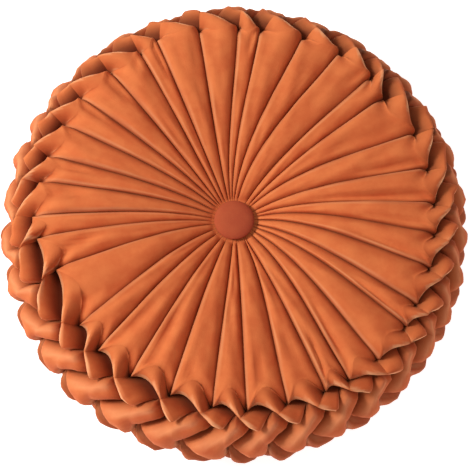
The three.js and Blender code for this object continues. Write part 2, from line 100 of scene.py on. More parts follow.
# A row for each crease, counter-clockwise from +X, in degrees: where it starts at the rim, where
# the pleat before it has its tip, where the rim's flap beside it ends, the levels of these three,
# where the crease meets the button and how far the pleat after it swells
FOLDS = [
    {"rim": -4.5, "tip": -7.5, "end": -1, "levels": (0.2, 0.7, 2), "hub": 13, "swell": 0.95},
    {"rim": 4.5, "tip": 2, "end": 10, "levels": (0.2, 0.9, 2.3), "hub": 18, "swell": 0.9},
    {"rim": 15, "tip": 13, "end": 22, "levels": (0.2, 1.2, 2.4), "hub": 28, "swell": 0.95},
    {"rim": 26, "tip": 24.5, "end": 33, "levels": (0.3, 1.3, 2.4), "hub": 43, "swell": 1.1},
    {"rim": 40, "tip": 35.5, "end": 43, "levels": (-0.1, 0.7, 2.4), "hub": 49, "swell": 0.85},
    {"rim": 47, "tip": 45.5, "end": 49.5, "levels": (0.3, 0.8, 2.2), "hub": 59, "swell": 0.95},
    {"rim": 58.5, "tip": 54.5, "end": 59.5, "levels": (0.5, 0.8, 2.4), "hub": 82, "swell": 1.0},
    {"rim": 70, "tip": 66.5, "end": 71, "levels": (0.4, 0.7, 2.3), "hub": 90, "swell": 1.05},
    {"rim": 82.5, "tip": 78, "end": 82.5, "levels": (0.2, 0.9, 2.4), "hub": 95, "swell": 0.85},
    {"rim": 89, "tip": 88, "end": 91.5, "levels": (0.2, 1.2, 2.4), "hub": 100, "swell": 0.95},
    {"rim": 100.5, "tip": 99, "end": 102.5, "levels": (0.3, 1.3, 2.4), "hub": 105.5, "swell": 1.05},
    {"rim": 113, "tip": 109, "end": 112, "levels": (0.6, 1.3, 2.2), "hub": 114.5, "swell": 0.8},
    {"rim": 119, "tip": 119, "end": 122, "levels": (0.1, 1.4, 2.3), "hub": 122, "swell": 0.9},
    {"rim": 129.5, "tip": 129.5, "end": 133, "levels": (0.1, 1.2, 2.1), "hub": 130, "swell": 1.05},
    {"rim": 141, "tip": 140, "end": 143.5, "levels": (0.2, 1, 1.9), "hub": 134.5, "swell": 0.9},
    {"rim": 150.5, "tip": 149.5, "end": 153, "levels": (0, 0.7, 1.7), "hub": 141, "swell": 1.0},
    {"rim": 161, "tip": 159.5, "end": 163, "levels": (0, 0.8, 1.7), "hub": 151, "swell": 0.85},
    {"rim": 169, "tip": 170, "end": 175.5, "levels": (0, 0.9, 1.9), "hub": 161.5, "swell": 1.05},
    {"rim": 179.5, "tip": 179.5, "end": 186.5, "levels": (0.2, 1.3, 2.2), "hub": 172.5, "swell": 0.85},
    {"rim": 186, "tip": 189.5, "end": 197.5, "levels": (0, 0.9, 1.8), "hub": 180, "swell": 1.0},
    {"rim": 196.5, "tip": 200, "end": 209, "levels": (-0.5, 0, 1.5), "hub": 189, "swell": 1.0},
    {"rim": 215.5, "tip": 212.5, "end": 218.5, "levels": (-0.4, 0, 1.2), "hub": 203, "swell": 1.05},
    {"rim": 225, "tip": 223, "end": 230, "levels": (-0.3, 0, 1.2), "hub": 217, "swell": 0.95},
    {"rim": 237.5, "tip": 234, "end": 242, "levels": (-0.3, 0, 1.3), "hub": 233, "swell": 1.1},
    {"rim": 250.5, "tip": 248.5, "end": 253.5, "levels": (-0.3, -0.1, 1.2), "hub": 247, "swell": 1.0},
    {"rim": 263.5, "tip": 260, "end": 267, "levels": (-0.2, 0, 1.1), "hub": 266, "swell": 0.95},
    {"rim": 273.5, "tip": 271, "end": 276.5, "levels": (-0.1, 0.1, 1.3), "hub": 276, "swell": 1.15},
    {"rim": 285.5, "tip": 281.5, "end": 287, "levels": (-0.1, 0.1, 1.5), "hub": 298, "swell": 0.85},
    {"rim": 297, "tip": 292, "end": 297.5, "levels": (0, 0.3, 1.5), "hub": 302, "swell": 1.1},
    {"rim": 304.5, "tip": 302, "end": 307.5, "levels": (0.1, 0.3, 1.7), "hub": 321, "swell": 0.9},
    {"rim": 314.5, "tip": 313, "end": 318, "levels": (0.3, 1.2, 2.1), "hub": 332, "swell": 1.1},
    {"rim": 327, "tip": 322.5, "end": 329, "levels": (0.4, 0.8, 2), "hub": 343, "swell": 0.9},
    {"rim": 334, "tip": 332, "end": 338, "levels": (0.2, 0.8, 2.2), "hub": 351, "swell": 1.05},
    {"rim": 345.5, "tip": 342, "end": 349, "levels": (0.2, 0.7, 2.2), "hub": 364, "swell": 0.95},
]
PLEATS = len(FOLDS)

# The pleats before this one have their far side on top, and the rest have their near side on top
LAP_CHANGES_AT = 18

# Soft valleys inside the pleats of the face: the pleat, where the valley starts across it at the
# rim and where it ends, how far in it starts and ends, its half width across and its depth in mm
VALLEYS = [
    {"pleat": 0, "start": 0.24, "end": 0.38, "near": 0.0, "far": 0.45, "half": 0.13, "depth": 3.2},
    {"pleat": 1, "start": 0.2, "end": 0.3, "near": 0.0, "far": 0.72, "half": 0.14, "depth": 6.0},
    {"pleat": 2, "start": 0.18, "end": 0.3, "near": 0.0, "far": 0.5, "half": 0.11, "depth": 4.8},
    {"pleat": 3, "start": 0.3, "end": 0.45, "near": 0.1, "far": 0.6, "half": 0.16, "depth": 2.4},
    {"pleat": 5, "start": 0.2, "end": 0.4, "near": 0.0, "far": 0.2, "half": 0.1, "depth": 3.2},
    {"pleat": 8, "start": 0.3, "end": 0.4, "near": 0.0, "far": 0.2, "half": 0.14, "depth": 3.6},
    {"pleat": 11, "start": 0.32, "end": 0.22, "near": 0.0, "far": 0.3, "half": 0.12, "depth": 3.6},
    {"pleat": 12, "start": 0.34, "end": 0.34, "near": 0.0, "far": 0.12, "half": 0.1, "depth": 3.2},
    {"pleat": 13, "start": 0.24, "end": 0.12, "near": 0.0, "far": 0.3, "half": 0.11, "depth": 4.0},
    {"pleat": 14, "start": 0.26, "end": 0.1, "near": 0.0, "far": 0.22, "half": 0.12, "depth": 3.2},
    {"pleat": 15, "start": 0.26, "end": 0.12, "near": 0.0, "far": 0.2, "half": 0.12, "depth": 3.2},
    {"pleat": 16, "start": 0.4, "end": 0.2, "near": 0.0, "far": 0.26, "half": 0.13, "depth": 2.8},
    {"pleat": 17, "start": 0.42, "end": 0.2, "near": 0.0, "far": 0.34, "half": 0.15, "depth": 5.2},
    {"pleat": 19, "start": 0.62, "end": 0.1, "near": 0.0, "far": 0.42, "half": 0.15, "depth": 5.6},
    {"pleat": 20, "start": 0.75, "end": 0.75, "near": 0.0, "far": 0.2, "half": 0.12, "depth": 3.6},
    {"pleat": 22, "start": 0.22, "end": 0.42, "near": 0.0, "far": 0.5, "half": 0.15, "depth": 4.4},
    {"pleat": 23, "start": 0.32, "end": 0.26, "near": 0.0, "far": 0.58, "half": 0.13, "depth": 6.0},
    {"pleat": 24, "start": 0.45, "end": 0.08, "near": 0.0, "far": 0.2, "half": 0.13, "depth": 4.0},
    {"pleat": 26, "start": 0.38, "end": 0.6, "near": 0.02, "far": 0.3, "half": 0.16, "depth": 2.8},
    {"pleat": 28, "start": 0.22, "end": 0.5, "near": 0.0, "far": 0.3, "half": 0.11, "depth": 4.4},
    {"pleat": 29, "start": 0.22, "end": 0.5, "near": 0.05, "far": 0.55, "half": 0.16, "depth": 4.0},
    {"pleat": 31, "start": 0.22, "end": 0.36, "near": 0.0, "far": 0.4, "half": 0.14, "depth": 3.6},
    {"pleat": 33, "start": 0.18, "end": 0.4, "near": 0.0, "far": 0.5, "half": 0.14, "depth": 4.0},
]

# The back is gathered evenly, a little turned from the rim, and its near sides lie on top
BACK_TURN = -14
BACK_SWELL = 0.9
BACK_LAP = -1

# How late the creases bend toward their places at the button
BEND_POWER = 2.2

# The rings of corners between the rim's folds: the column of the table of creases that gives their
# angles, their place there in pleats, their level, and how far a corner strays from there in
# pleats and in levels. OVERLAP is how far, in pleats, the middle rings are set past the flaps' ends,
# so that the folds cross over. The back's half of the rim is the face's half turned over.
OVERLAP = 0.17
CORNER_RINGS = [
    {"column": "rim", "place": 0, "level": None, "stray": 0.0, "drift": 0.0},
    {"column": "tip", "place": 0, "level": None, "stray": 0.0, "drift": 0.0},
    {"column": "end", "place": 0, "level": None, "stray": 0.0, "drift": 0.0},
    {"column": "end", "place": OVERLAP - 1, "level": 3, "stray": 0.06, "drift": 0.12},
    {"column": "end", "place": OVERLAP, "level": 4, "stray": 0.06, "drift": 0.12},
    {"column": "end", "place": 2 * OVERLAP - 1, "level": 5, "stray": 0.06, "drift": 0.16},
    {"column": "end", "place": 0.09, "level": 6, "stray": 0.08, "drift": 0.1},
    {"column": "end", "place": -0.16, "level": 7, "stray": 0.0, "drift": 0.0},
]
END_RING = 7
BACK_PLACE = CORNER_RINGS[END_RING]["place"]

# Three kinds of fold make each half of the rim. A pleat goes on as a flap, which runs to the right
# and dives under an arm. The arm comes out from under the next flap, runs to the left and goes on
# as a lobe, which ends in a curl over the rim's middle. Each row gives a kind's lean (1 runs to
# the right, -1 to the left), at which end it is joined to its neighbour, over what share of its
# length it drops at the free end, and how far its two sides and its free end hook over, as shares
# of the fold's lip. An arm and a lobe also have the heights of their section near the first side,
# in the middle and near the far side, as shares of the fold's rise. The last four are how dark the
# painted shade is in the pit under the pleat's edge, in the hole where the fold comes out and in its
# two slits, and how light the painted highlight is on the ridge that runs along it.
FOLD_KINDS = {
    "flap": {
        "lean": 1, "joined": "start", "drop": 0.22, "near_lip": 0.0, "far_lip": 1.0, "end_lip": 0.35,
        "pit": 0.9, "hole": 0.0, "slit": 0.0, "ridge": 0.0,
    },
    "arm": {
        "lean": -1, "joined": "end", "drop": 0.35, "near_lip": 0.8, "far_lip": 0.0, "end_lip": 0.0,
        "near": 1.0, "middle": 0.8, "far": 0.4, "pit": 0.0, "hole": 0.85, "slit": 0.8, "ridge": 0.3,
    },
    "lobe": {
        "lean": -1, "joined": "start", "drop": 0.3, "near_lip": 0.4, "far_lip": 0.5, "end_lip": 1.0,
        "near": 0.9, "middle": 1.0, "far": 0.8, "pit": 0.0, "hole": 0.0, "slit": 0.8, "ridge": 0.3,
    },
}

# A row for each ring of folds: its kind, its lowest ring of corners, the steps from its own number
# to its left corner and to the pleat whose swell it shares, and whether it is turned over
RIM_ROWS = [
    {"kind": "flap", "ring": 0, "left": 0, "band": 0, "turned": False},
    {"kind": "arm", "ring": 1, "left": -1, "band": 0, "turned": False},
    {"kind": "lobe", "ring": 2, "left": 0, "band": 1, "turned": False},
    {"kind": "lobe", "ring": 3, "left": -1, "band": -1, "turned": True},
    {"kind": "arm", "ring": 4, "left": 0, "band": 0, "turned": True},
    {"kind": "flap", "ring": 5, "left": -1, "band": 0, "turned": True},
]

# Height of the rim's folds over the creases in mm, and how much of its pleat's swell each shares
RIM_RISE = 9.0
SWELL_AT_RIM = 0.6

# Depth of the creases at the rim in mm. They are shallower over the crown, from RIM_GROOVE_END on,
# and deepen toward the button, all as shares of the way in.
RIM_GROOVE = 10.0
RIM_GROOVE_END = 0.1
HUB_GROOVE_START = 0.35
HUB_GROOVE_REACH = 0.5

# A pleat is higher at the rim, up to RIM_PUFF_END of the way in. Its height and its overhang fade
# away beside the button. A pleat narrower than FULL_WIDTH, in mm, overhangs less.
RIM_PUFF = 1.25
RIM_PUFF_END = 0.2
HEIGHT_FADE_START = 0.95
LIP_FADE_START = 0.92
FULL_WIDTH = 16.0

# A knife pleat's crest, across it from the side that lies under, at the rim and from CREST_END of
# the way in, and how flat its top is. It is a puffed end up to PUFF_END of the way in.
CREST_AT_RIM = 0.7
CREST = 0.84
CREST_END = 0.3
TOP_FLATNESS = 3.6
PUFF_END = 0.2

# The puffed end of a pleat: how steep its sides are, and how far it leans to a crest near its edge
PUFF_STEEPNESS = 2.4
PUFF_CREST = 0.8
PUFF_LEAN = 0.6

# The neck's section: its crest, and the small part of it that rises early beside the crease
NECK_CREST = 0.84
NECK_EARLY_PART = 0.15
NECK_EARLY_START = 0.06
NECK_EARLY_REACH = 0.42

# How steep the sides of an arm or a lobe and of the crest between the two are, the height of that
# crest's far side, over what share of a fold its section turns into the shared one, and how steep
# the free end of a flap or a lobe is
FOLD_STEEPNESS = 6
JOINT_STEEPNESS = 3
JOINT_FAR_SIDE = 0.75
JOINT_REACH = 0.5
END_STEEPNESS = 2

# A pleat's outer edge arches inwards on its way to the tip, more on the near side of the picture.
# The line where its outer end starts bends inwards further than that. The outer end has a crisp
# edge, with its crest close to it, from CRISP_END of the way along.
ARCH_FAR = 0.15
ARCH_NEAR = 0.36
ARCH_POWER = 0.9
SHOULDER = 0.35
SHOULDER_PER_ARCH = 1.2
CRISP_CREST = 0.92
CRISP_END = 0.9

# An overhanging edge: how far from the side it reaches as a share of the width, how it thins out
# toward the fold's ends, and how much of it is left on the pleats at the picture's top
LIP_REACH = 0.13
ENDS_POWER = 0.6
LIP_AT_TOP = 0.4

# A valley fades away toward its inner end, starts at part of its depth at the rim, and stays clear
# of the pleat's sides, all as shares of the way in or across
VALLEY_FADE = 1.6
VALLEY_RAMP = 0.04
VALLEY_AT_RIM = 0.2
VALLEY_CLEARANCE = 0.1

# The velvet's soft unevenness: streaks round the cushion per radian, and waves per station
STREAKS = 22
WAVES = 0.9

# The painted highlight on a sharp edge: its distance from the side and its width in mm, and how
# light it is on a pleat of the face. The wide painted highlight on the ridge along an arm and a
# lobe has the same, and where along the fold it starts or ends.
EDGE_PLACE = 1.9
EDGE_WIDTH = 0.7
PLEAT_HIGHLIGHT = 0.35
RIDGE_PLACE = 4.5
RIDGE_WIDTH = 2.4
RIDGE_TURN = 0.4

# How dark the painted shade in the creases between the pleats is and how wide in mm, at most a
# share of the pleat
CREASE_SHADE = 0.8
CREASE_WIDTH = 1.1
CREASE_SHARE = 0.06

# The rim's painted shade: how it fades with the height over the slits and beside them in mm, how
# far a pit and a hole reach as shares of the fold, how much of them is hidden at the picture's top,
# and how dark the painted shade on the underside of the rim gets
SHADE_DEPTH = 5.5
SLIT_WIDTH = 1.8
PIT_REACH = 0.6
HOLE_REACH = 0.3
HIDDEN_AT_TOP = 0.32
UNDERSIDE_SHADE = 0.45

# How much closer together the rows of points are near a fold's two sides than in its middle
CROWDING = 0.82

# Points in the same cell of a fine grid are merged, with this many cells to a mm. A length in mm,
# or an area in square mm, that is smaller than NOTHING has no direction.
CELLS_PER_MM = 200
NOTHING = 1e-9

# Closer to a button's axis than this, as a share of its radius, a point stays on the axis
AT_POLE = 1e-6

# Turns the number of a corner into a fixed value that looks random
STRAY_STEPS = (12.9898, 78.233, 37.719)
STRAY_GAIN = 43758.5453

# How much the painted highlights and painted shade on the cover tint the pile, how strong the sheen
# is on the cover and on the buttons, and how far the buttons' lighter colour goes toward the one
# of the brushed patches and the painted light
PAINTED_LIGHT_STRENGTH = 0.95
COVER_SHEEN = 0.26
BUTTON_SHEEN = 0.12
BUTTON_BRUSHED_AND_LIT = 0.25

# The soft boxes over the cushion: where each hangs, how wide it is and its share of the key's power
SOFT_BOXES = [
    {"name": "key_light", "place": (-2.1, 0.2, 2.25), "width": 0.9, "share": 1.0},
    {"name": "fill_light", "place": (1.2, -0.6, 2.4), "width": 2.2, "share": 0.12},
]


class CoverSizes(bpy.types.PropertyGroup):
    """Sizes of the pleated and smocked cover."""

    pleat_rise: FloatProperty(
        name="Pleat rise",
        description="Height of a full pleat over the creases",
        default=4.8 * MM,
        unit="LENGTH",
    )
    rise_per_width: FloatProperty(
        name="Rise per width",
        description="Height of a narrow pleat as a share of its width",
        default=0.24,
        subtype="FACTOR",
    )
    groove: FloatProperty(
        name="Groove",
        description="Depth of the creases over the crown",
        default=1.8 * MM,
        unit="LENGTH",
    )
    hub_groove: FloatProperty(
        name="Hub groove",
        description="Depth of the creases near the button",
        default=2.2 * MM,
        unit="LENGTH",
    )
    pleat_lip: FloatProperty(
        name="Pleat lip",
        description="How far a pleat lies over its neighbour",
        default=2.4 * MM,
        unit="LENGTH",
    )
    fold_lip: FloatProperty(
        name="Fold lip",
        description="How far a fold of the rim lies over the one below",
        default=5.0 * MM,
        unit="LENGTH",
    )
    ripple: FloatProperty(
        name="Ripple",
        description="Height of the velvet's soft unevenness",
        default=2.0 * MM,
        unit="LENGTH",
    )
    cells: IntProperty(name="Cells", description="Faces across one fold", default=15, min=4, max=24)
    face_rows: IntProperty(
        name="Face rows", description="Faces along a pleat of the face", default=44, min=6
    )
    back_rows: IntProperty(
        name="Back rows", description="Faces along a pleat of the back", default=12, min=4
    )


class ButtonSizes(bpy.types.PropertyGroup):
    """Section of the covered buttons; their width and height come from the frame."""

    dome: FloatProperty(
        name="Dome", description="1 is a ball's top, and more lowers its shoulder", default=1.25
    )
    seat: FloatProperty(
        name="Seat", description="1 is a ball's underside, and more flattens it sooner", default=1.7
    )
    seat_curve: FloatProperty(
        name="Seat curve", description="1 is straight down, and less tucks in faster", default=0.8
    )
    fullness: FloatProperty(
        name="Fullness", description="1 is a ball's side, and less makes it fuller", default=0.82
    )
    segments: IntProperty(name="Segments", description="Faces round a button", default=72, min=12)
    rings: IntProperty(name="Rings", description="Faces from its top to its seat", default=48, min=8)


class VelvetLook(bpy.types.PropertyGroup):
    """Colours and pile of the velvet with its painted light and shade, as sRGB hex values and
    millimetres.
    """

    pile: StringProperty(
        name="Pile", description="Colour of the pile seen straight on", default="C4562C"
    )
    # Also the colour of the painted light on the side that faces the key light
    brushed_and_lit: StringProperty(
        name="Brushed", description="Colour where the pile is brushed flat", default="DC7B44"
    )
    # Painted highlight on sharp folds
    edge: StringProperty(
        name="Edge", description="Colour of the pile on a sharp fold", default="FBB884"
    )
    # Painted shade deep in the creases
    depth: StringProperty(name="Depth", description="Colour deep in a crease", default="3A0E05")
    button: StringProperty(
        name="Button", description="Colour of the button's velvet", default="A03F27"
    )
    glow: StringProperty(
        name="Glow", description="Colour of the pile's tips in the light", default="F2A266"
    )
    # Painted light: a surface that faces this way, toward the key light, is tinted toward the lighter
    # colour
    painted_light_from: FloatVectorProperty(
        name="Nap",
        description="The way that the pile leans against",
        default=(-0.7, 0.25, 0.67),
        subtype="XYZ",
    )
    patch_mm: FloatProperty(
        name="Patch", description="Size of a patch of brushed pile in mm", default=14.0
    )
    tuft_mm: FloatProperty(name="Tuft", description="Size of the pile's grain in mm", default=0.9)


class StageLook(bpy.types.PropertyGroup):
    """The floor, the light and the camera."""

    floor_width: FloatProperty(
        name="Floor", description="Width of the floor", default=12.0, unit="LENGTH"
    )
    elevation: FloatProperty(
        name="Elevation",
        description="Camera's angle above the floor",
        default=math.radians(75.3),
        subtype="ANGLE",
    )
    distance: FloatProperty(
        name="Distance", description="Camera's distance", default=2.2, unit="LENGTH"
    )
    aim: FloatVectorProperty(
        name="Aim",
        description="The point in the middle of the picture",
        default=(0.0012, -0.0027, 0.048),
        subtype="XYZ",
    )
    frame_width: FloatProperty(
        name="Frame width",
        description="Width that the picture shows there",
        default=0.382,
        unit="LENGTH",
    )
    key: FloatProperty(
        name="Key light", description="Power of the key light", default=90.0, unit="POWER"
    )
    sky: FloatProperty(
        name="Sky", description="Strength of the light from all around", default=0.3
    )


def mix(low, high, share):
    """A value between low and high; share 0 gives low and 1 gives high."""
    return low + (high - low) * share


def smooth(share):
    """Rises from 0 to 1 with soft ends, and stays there."""
    share = np.clip(share, 0, 1)
    return share * share * (3 - 2 * share)


def steps(count):
    """Places across a fold, closer together near its two sides, where it rolls over."""
    even = np.arange(count + 1) / count
    return mix(even, smooth(smooth(even)), CROWDING)


def spline(values, place):
    """A smooth curve through the values, at a place counted in values."""
    values = np.asarray(values, float)
    last = len(values) - 1
    low = np.clip(np.floor(place).astype(int), 0, last - 1)
    share = place - low
    before, start = values[np.maximum(low - 1, 0)], values[low]
    end, after = values[low + 1], values[np.minimum(low + 2, last)]
    slope_in, slope_out = (end - before) / 2, (after - start) / 2
    return (
        (2 * start - 2 * end + slope_in + slope_out) * share**3
        + (-3 * start + 3 * end - 2 * slope_in - slope_out) * share**2
        + slope_in * share
        + start
    )


def section_at(station):
    """Radius, height and outward normal of the half section at a station, in mm."""
    station = np.clip(station, 0, LAST_STATION)
    small = 1e-3
    ahead = np.clip(station + small, 0, LAST_STATION)
    behind = np.clip(station - small, 0, LAST_STATION)
    along_r = spline(RADII, ahead) - spline(RADII, behind)
    along_z = spline(HEIGHTS, ahead) - spline(HEIGHTS, behind)
    length = np.hypot(along_r, along_z)
    return spline(RADII, station), spline(HEIGHTS, station), -along_z / length, along_r / length


def column_at(column, place):
    """A fold table's column at a place counted in creases, going on past a full turn."""
    low = np.floor(place).astype(int)
    table = np.array([row[column] for row in FOLDS], float)
    first = table[low % PLEATS] + 360 * (low // PLEATS)
    second = table[(low + 1) % PLEATS] + 360 * ((low + 1) // PLEATS)
    return mix(first, second, place - low)


def face_angle(place, inward):
    """Angle of the face's creases in degrees: they bend toward the button as they near it."""
    return mix(column_at("rim", place), column_at("hub", place), inward**BEND_POWER)


def face_lap(index):
    """Which side of a pleat of the face lies on top: 1 the far side, -1 the near side."""
    return 1 if index < LAP_CHANGES_AT else -1


def back_angle(place, inward):
    """Angle of the back's creases in degrees, which run to evenly spaced places at the button."""
    hub = place * 360 / PLEATS + BACK_TURN
    return mix(column_at("end", place + BACK_PLACE), hub, inward**BEND_POWER)


def cover_point(angle, station, lift):
    """A point of the cover in mm, at an angle in degrees, a station and a height over the creases."""
    radius, height, out_r, out_z = section_at(station)
    turn = np.radians(angle)
    reach = radius + out_r * lift
    return np.stack([reach * np.cos(turn), reach * np.sin(turn), height + out_z * lift], -1)


def steep_sides(across, power):
    """A section with upright round sides and a flat top: the higher the power, the sharper."""
    return np.sqrt(np.maximum(0, 1 - np.abs(2 * across - 1) ** power))


def fold_section(across, kind):
    """Section of a rim fold: two steep sides, each with its own height, and a slope between."""
    if kind["lean"] > 0:
        return neck_section(across)
    sides = mix(kind["near"], kind["far"], smooth(across))
    slope = mix(sides, kind["middle"], np.sin(np.pi * across) ** 2)
    return steep_sides(across, FOLD_STEEPNESS) * slope


def knife_section(across, crest, flatness=2.0):
    """A slow rise from the side that lies under to the crest and a short round drop."""
    rising = 1 - (1 - np.minimum(across, crest) / crest) ** flatness
    falling = np.sqrt(np.maximum(0, 1 - ((np.maximum(across, crest) - crest) / (1 - crest)) ** 2))
    return np.where(across < crest, rising, falling)


def neck_section(across):
    """Section of the neck where a pleat turns into a flap: low beside the crease's end, high at
    the pleat's outer edge."""
    early = smooth((across - NECK_EARLY_START) / NECK_EARLY_REACH)
    rising = mix(smooth(across / NECK_CREST), early, NECK_EARLY_PART)
    return np.where(across < NECK_CREST, rising, knife_section(across, NECK_CREST))


def crest_section(across):
    """Section of the crest where an arm turns into a lobe."""
    return steep_sides(across, JOINT_STEEPNESS) * mix(1.0, JOINT_FAR_SIDE, across)


def rim_section(from_neck):
    """Section of a pleat at the rim: low beside the neck, puffed up toward its outer edge."""
    return mix(steep_sides(from_neck, PUFF_STEEPNESS), knife_section(from_neck, PUFF_CREST), PUFF_LEAN)


def pleat_section(across, from_neck, lap, inward):
    """Section of a pleat: a flat-topped knife pleat that turns into a puffed end at the rim."""
    crest = mix(CREST_AT_RIM, CREST, smooth(inward / CREST_END))
    knife = knife_section(across if lap > 0 else 1 - across, crest, TOP_FLATNESS)
    return mix(rim_section(from_neck), knife, smooth(inward / PUFF_END))


def lip(across):
    """How a fold's side hooks outwards over its neighbour: 0 at the slit and past the edge."""
    return np.sin(np.pi * np.clip(across / LIP_REACH, 0, 1))


def clear_of_ends(share):
    """1 over most of a fold's length or width and 0 at its two ends, where it meets others."""
    return np.sin(np.pi * share) ** ENDS_POWER


def side_distance(points, axis, far):
    """Distance in mm of a grid's points from one of its sides, measured square to that side."""
    length = np.linalg.norm(np.diff(points, axis=axis), axis=-1)
    if far:
        length = np.flip(length, axis)
    total = np.cumsum(length, axis=axis)
    total = np.concatenate([np.zeros_like(total.take([0], axis=axis)), total], axis=axis)
    if far:
        total = np.flip(total, axis)
    across, along = np.gradient(points, axis=axis), np.gradient(points, axis=1 - axis)
    area = np.linalg.norm(np.cross(across, along), axis=-1)
    both = np.linalg.norm(across, axis=-1) * np.linalg.norm(along, axis=-1)
    return total * np.divide(area, both, out=np.ones_like(area), where=both > NOTHING)


def edge_highlight(points, axis, far):
    """Painted highlight, 1 on the sharp edge of a fold's side, fading over its top."""
    return np.exp(-(((side_distance(points, axis, far) - EDGE_PLACE) / EDGE_WIDTH) ** 2))


def stray(index, ring, salt):
    """A fixed uneven value between -1 and 1 for a corner."""
    per_index, per_ring, per_salt = STRAY_STEPS
    wave = math.sin(index * per_index + ring * per_ring + salt * per_salt) * STRAY_GAIN
    return 2 * (wave - math.floor(wave)) - 1


def corner(ring, index):
    """Angle in degrees and level of one corner of the rim's lattice."""
    row = CORNER_RINGS[ring]
    own = index % PLEATS
    place = index + row["place"] + row["stray"] * stray(own, ring, 1)
    if row["level"] is None:
        level = FOLDS[own]["levels"][ring]
    else:
        level = row["level"] + row["drift"] * stray(own, ring, 2)
    return np.array([float(column_at(row["column"], np.array(place))), level])


class Cover:
    """Collects the patches of the cover, in mm, and joins them at their shared edges."""

    def __init__(self, sizes):
        self.cells = sizes.cells
        self.rows = {False: sizes.face_rows, True: sizes.back_rows}
        self.rise = sizes.pleat_rise / MM
        self.rise_per_width = sizes.rise_per_width
        self.groove = sizes.groove / MM
        self.hub_groove = sizes.hub_groove / MM
        self.pleat_lip = sizes.pleat_lip / MM
        self.fold_lip = sizes.fold_lip / MM
        self.ripple = sizes.ripple / MM
        self.points = []
        self.creases = []
        self.edges = []
        self.faces = []
        self.count = 0

    def patch(self, points, crease, edge, flip):
        """Adds a grid of points with their painted shade and painted highlight; flip turns its faces
        over.
        """
        columns, rows = points.shape[:2]
        number = self.count + np.arange(columns * rows).reshape(columns, rows)
        corners = [number[:-1, :-1], number[1:, :-1], number[1:, 1:], number[:-1, 1:]]
        if flip:
            corners.reverse()
        self.faces.append(np.stack([part.ravel() for part in corners], -1))
        self.points.append(points.reshape(-1, 3))
        self.creases.append(np.broadcast_to(crease, (columns, rows)).ravel())
        self.edges.append(np.broadcast_to(edge, (columns, rows)).ravel())
        self.count += columns * rows

    def joined(self):
        """Points, faces and the painted shade and painted highlight of each point, with shared points
        merged.
        """
        points = np.concatenate(self.points)
        cells = np.round(points * CELLS_PER_MM).astype(np.int64)
        _, first, own = np.unique(cells, axis=0, return_index=True, return_inverse=True)
        own = own.ravel()
        faces = []
        for quad in own[np.concatenate(self.faces)].tolist():
            # Where corners have merged, the face is a triangle or nothing
            ring = [v for k, v in enumerate(quad) if v != quad[k - 1]]
            if len(set(ring)) == len(ring) >= 3:
                faces.append(ring)
        creases, edges = np.concatenate(self.creases), np.concatenate(self.edges)
        return points[first], faces, creases[first], edges[first]


def side_shift(points, across_axis, shift):
    """Moves a grid's points sideways by shift, along the direction that runs across the fold."""
    across = np.gradient(points, axis=across_axis)
    length = np.linalg.norm(across, axis=-1, keepdims=True)
    across = np.divide(across, length, out=np.zeros_like(across), where=length > NOTHING)
    return points + across * shift[..., None]


def groove_depth(cover, inward):
    """Depth of a crease: shallow over the crown, deeper toward the rim's pits and the button."""
    toward_rim = mix(RIM_GROOVE, cover.groove, smooth(inward / RIM_GROOVE_END))
    toward_hub = smooth((inward - HUB_GROOVE_START) / HUB_GROOVE_REACH)
    return mix(toward_rim, cover.hub_groove, toward_hub)


def ripple_at(cover, angle, station):
    """Soft unevenness of the velvet over its filling in mm: long streaks toward the button."""
    turn = np.radians(angle)
    circle = STREAKS * np.cos(turn), STREAKS * np.sin(turn)
    places = np.stack(np.broadcast_arrays(*circle, station * WAVES), -1)
    values = [noise.noise(Vector(place)) for place in places.reshape(-1, 3).tolist()]
    return cover.ripple * np.array(values).reshape(places.shape[:-1])


def pleat_lift(cover, angle_at, first, across, from_neck, inward, station, swell, lap):
    """Height of a pleat over the crease surface and its width, both in mm."""
    span = angle_at(first + 1, inward) - angle_at(first, inward)
    width = np.radians(span) * section_at(station)[0]
    rise = np.minimum(cover.rise, cover.rise_per_width * width) * swell
    rise = rise * mix(RIM_PUFF, 1, smooth(inward / RIM_PUFF_END))
    fade = 1 - smooth((inward - HEIGHT_FADE_START) / (1 - HEIGHT_FADE_START))
    section = pleat_section(across, from_neck, lap, inward)
    return mix(-groove_depth(cover, inward), rise, section) * fade, width


def depth_shade(lift):
    """Painted shade, 1 at the bottom of the rim's slits, fading with the height over them."""
    return np.exp(-(lift + RIM_GROOVE) / SHADE_DEPTH)


def valley_depth(index, across, inward):
    """Depth of the soft valleys of one pleat of the face."""
    depth = np.zeros(np.broadcast(across, inward).shape)
    for row in VALLEYS:
        if row["pleat"] != index:
            continue
        share = np.clip((inward - row["near"]) / (row["far"] - row["near"]), 0, 1)
        centre = mix(row["start"], row["end"], share)
        fade = smooth((1 - share) * VALLEY_FADE) * smooth(inward / VALLEY_RAMP + VALLEY_AT_RIM)
        depth += row["depth"] * fade * np.exp(-(((across - centre) / row["half"]) ** 2))
    return depth * smooth(across / VALLEY_CLEARANCE) * smooth((1 - across) / VALLEY_CLEARANCE)


def pleat_side(across, lap):
    """Distance from the side that lies on top, as a share of the pleat."""
    return 1 - across if lap > 0 else across


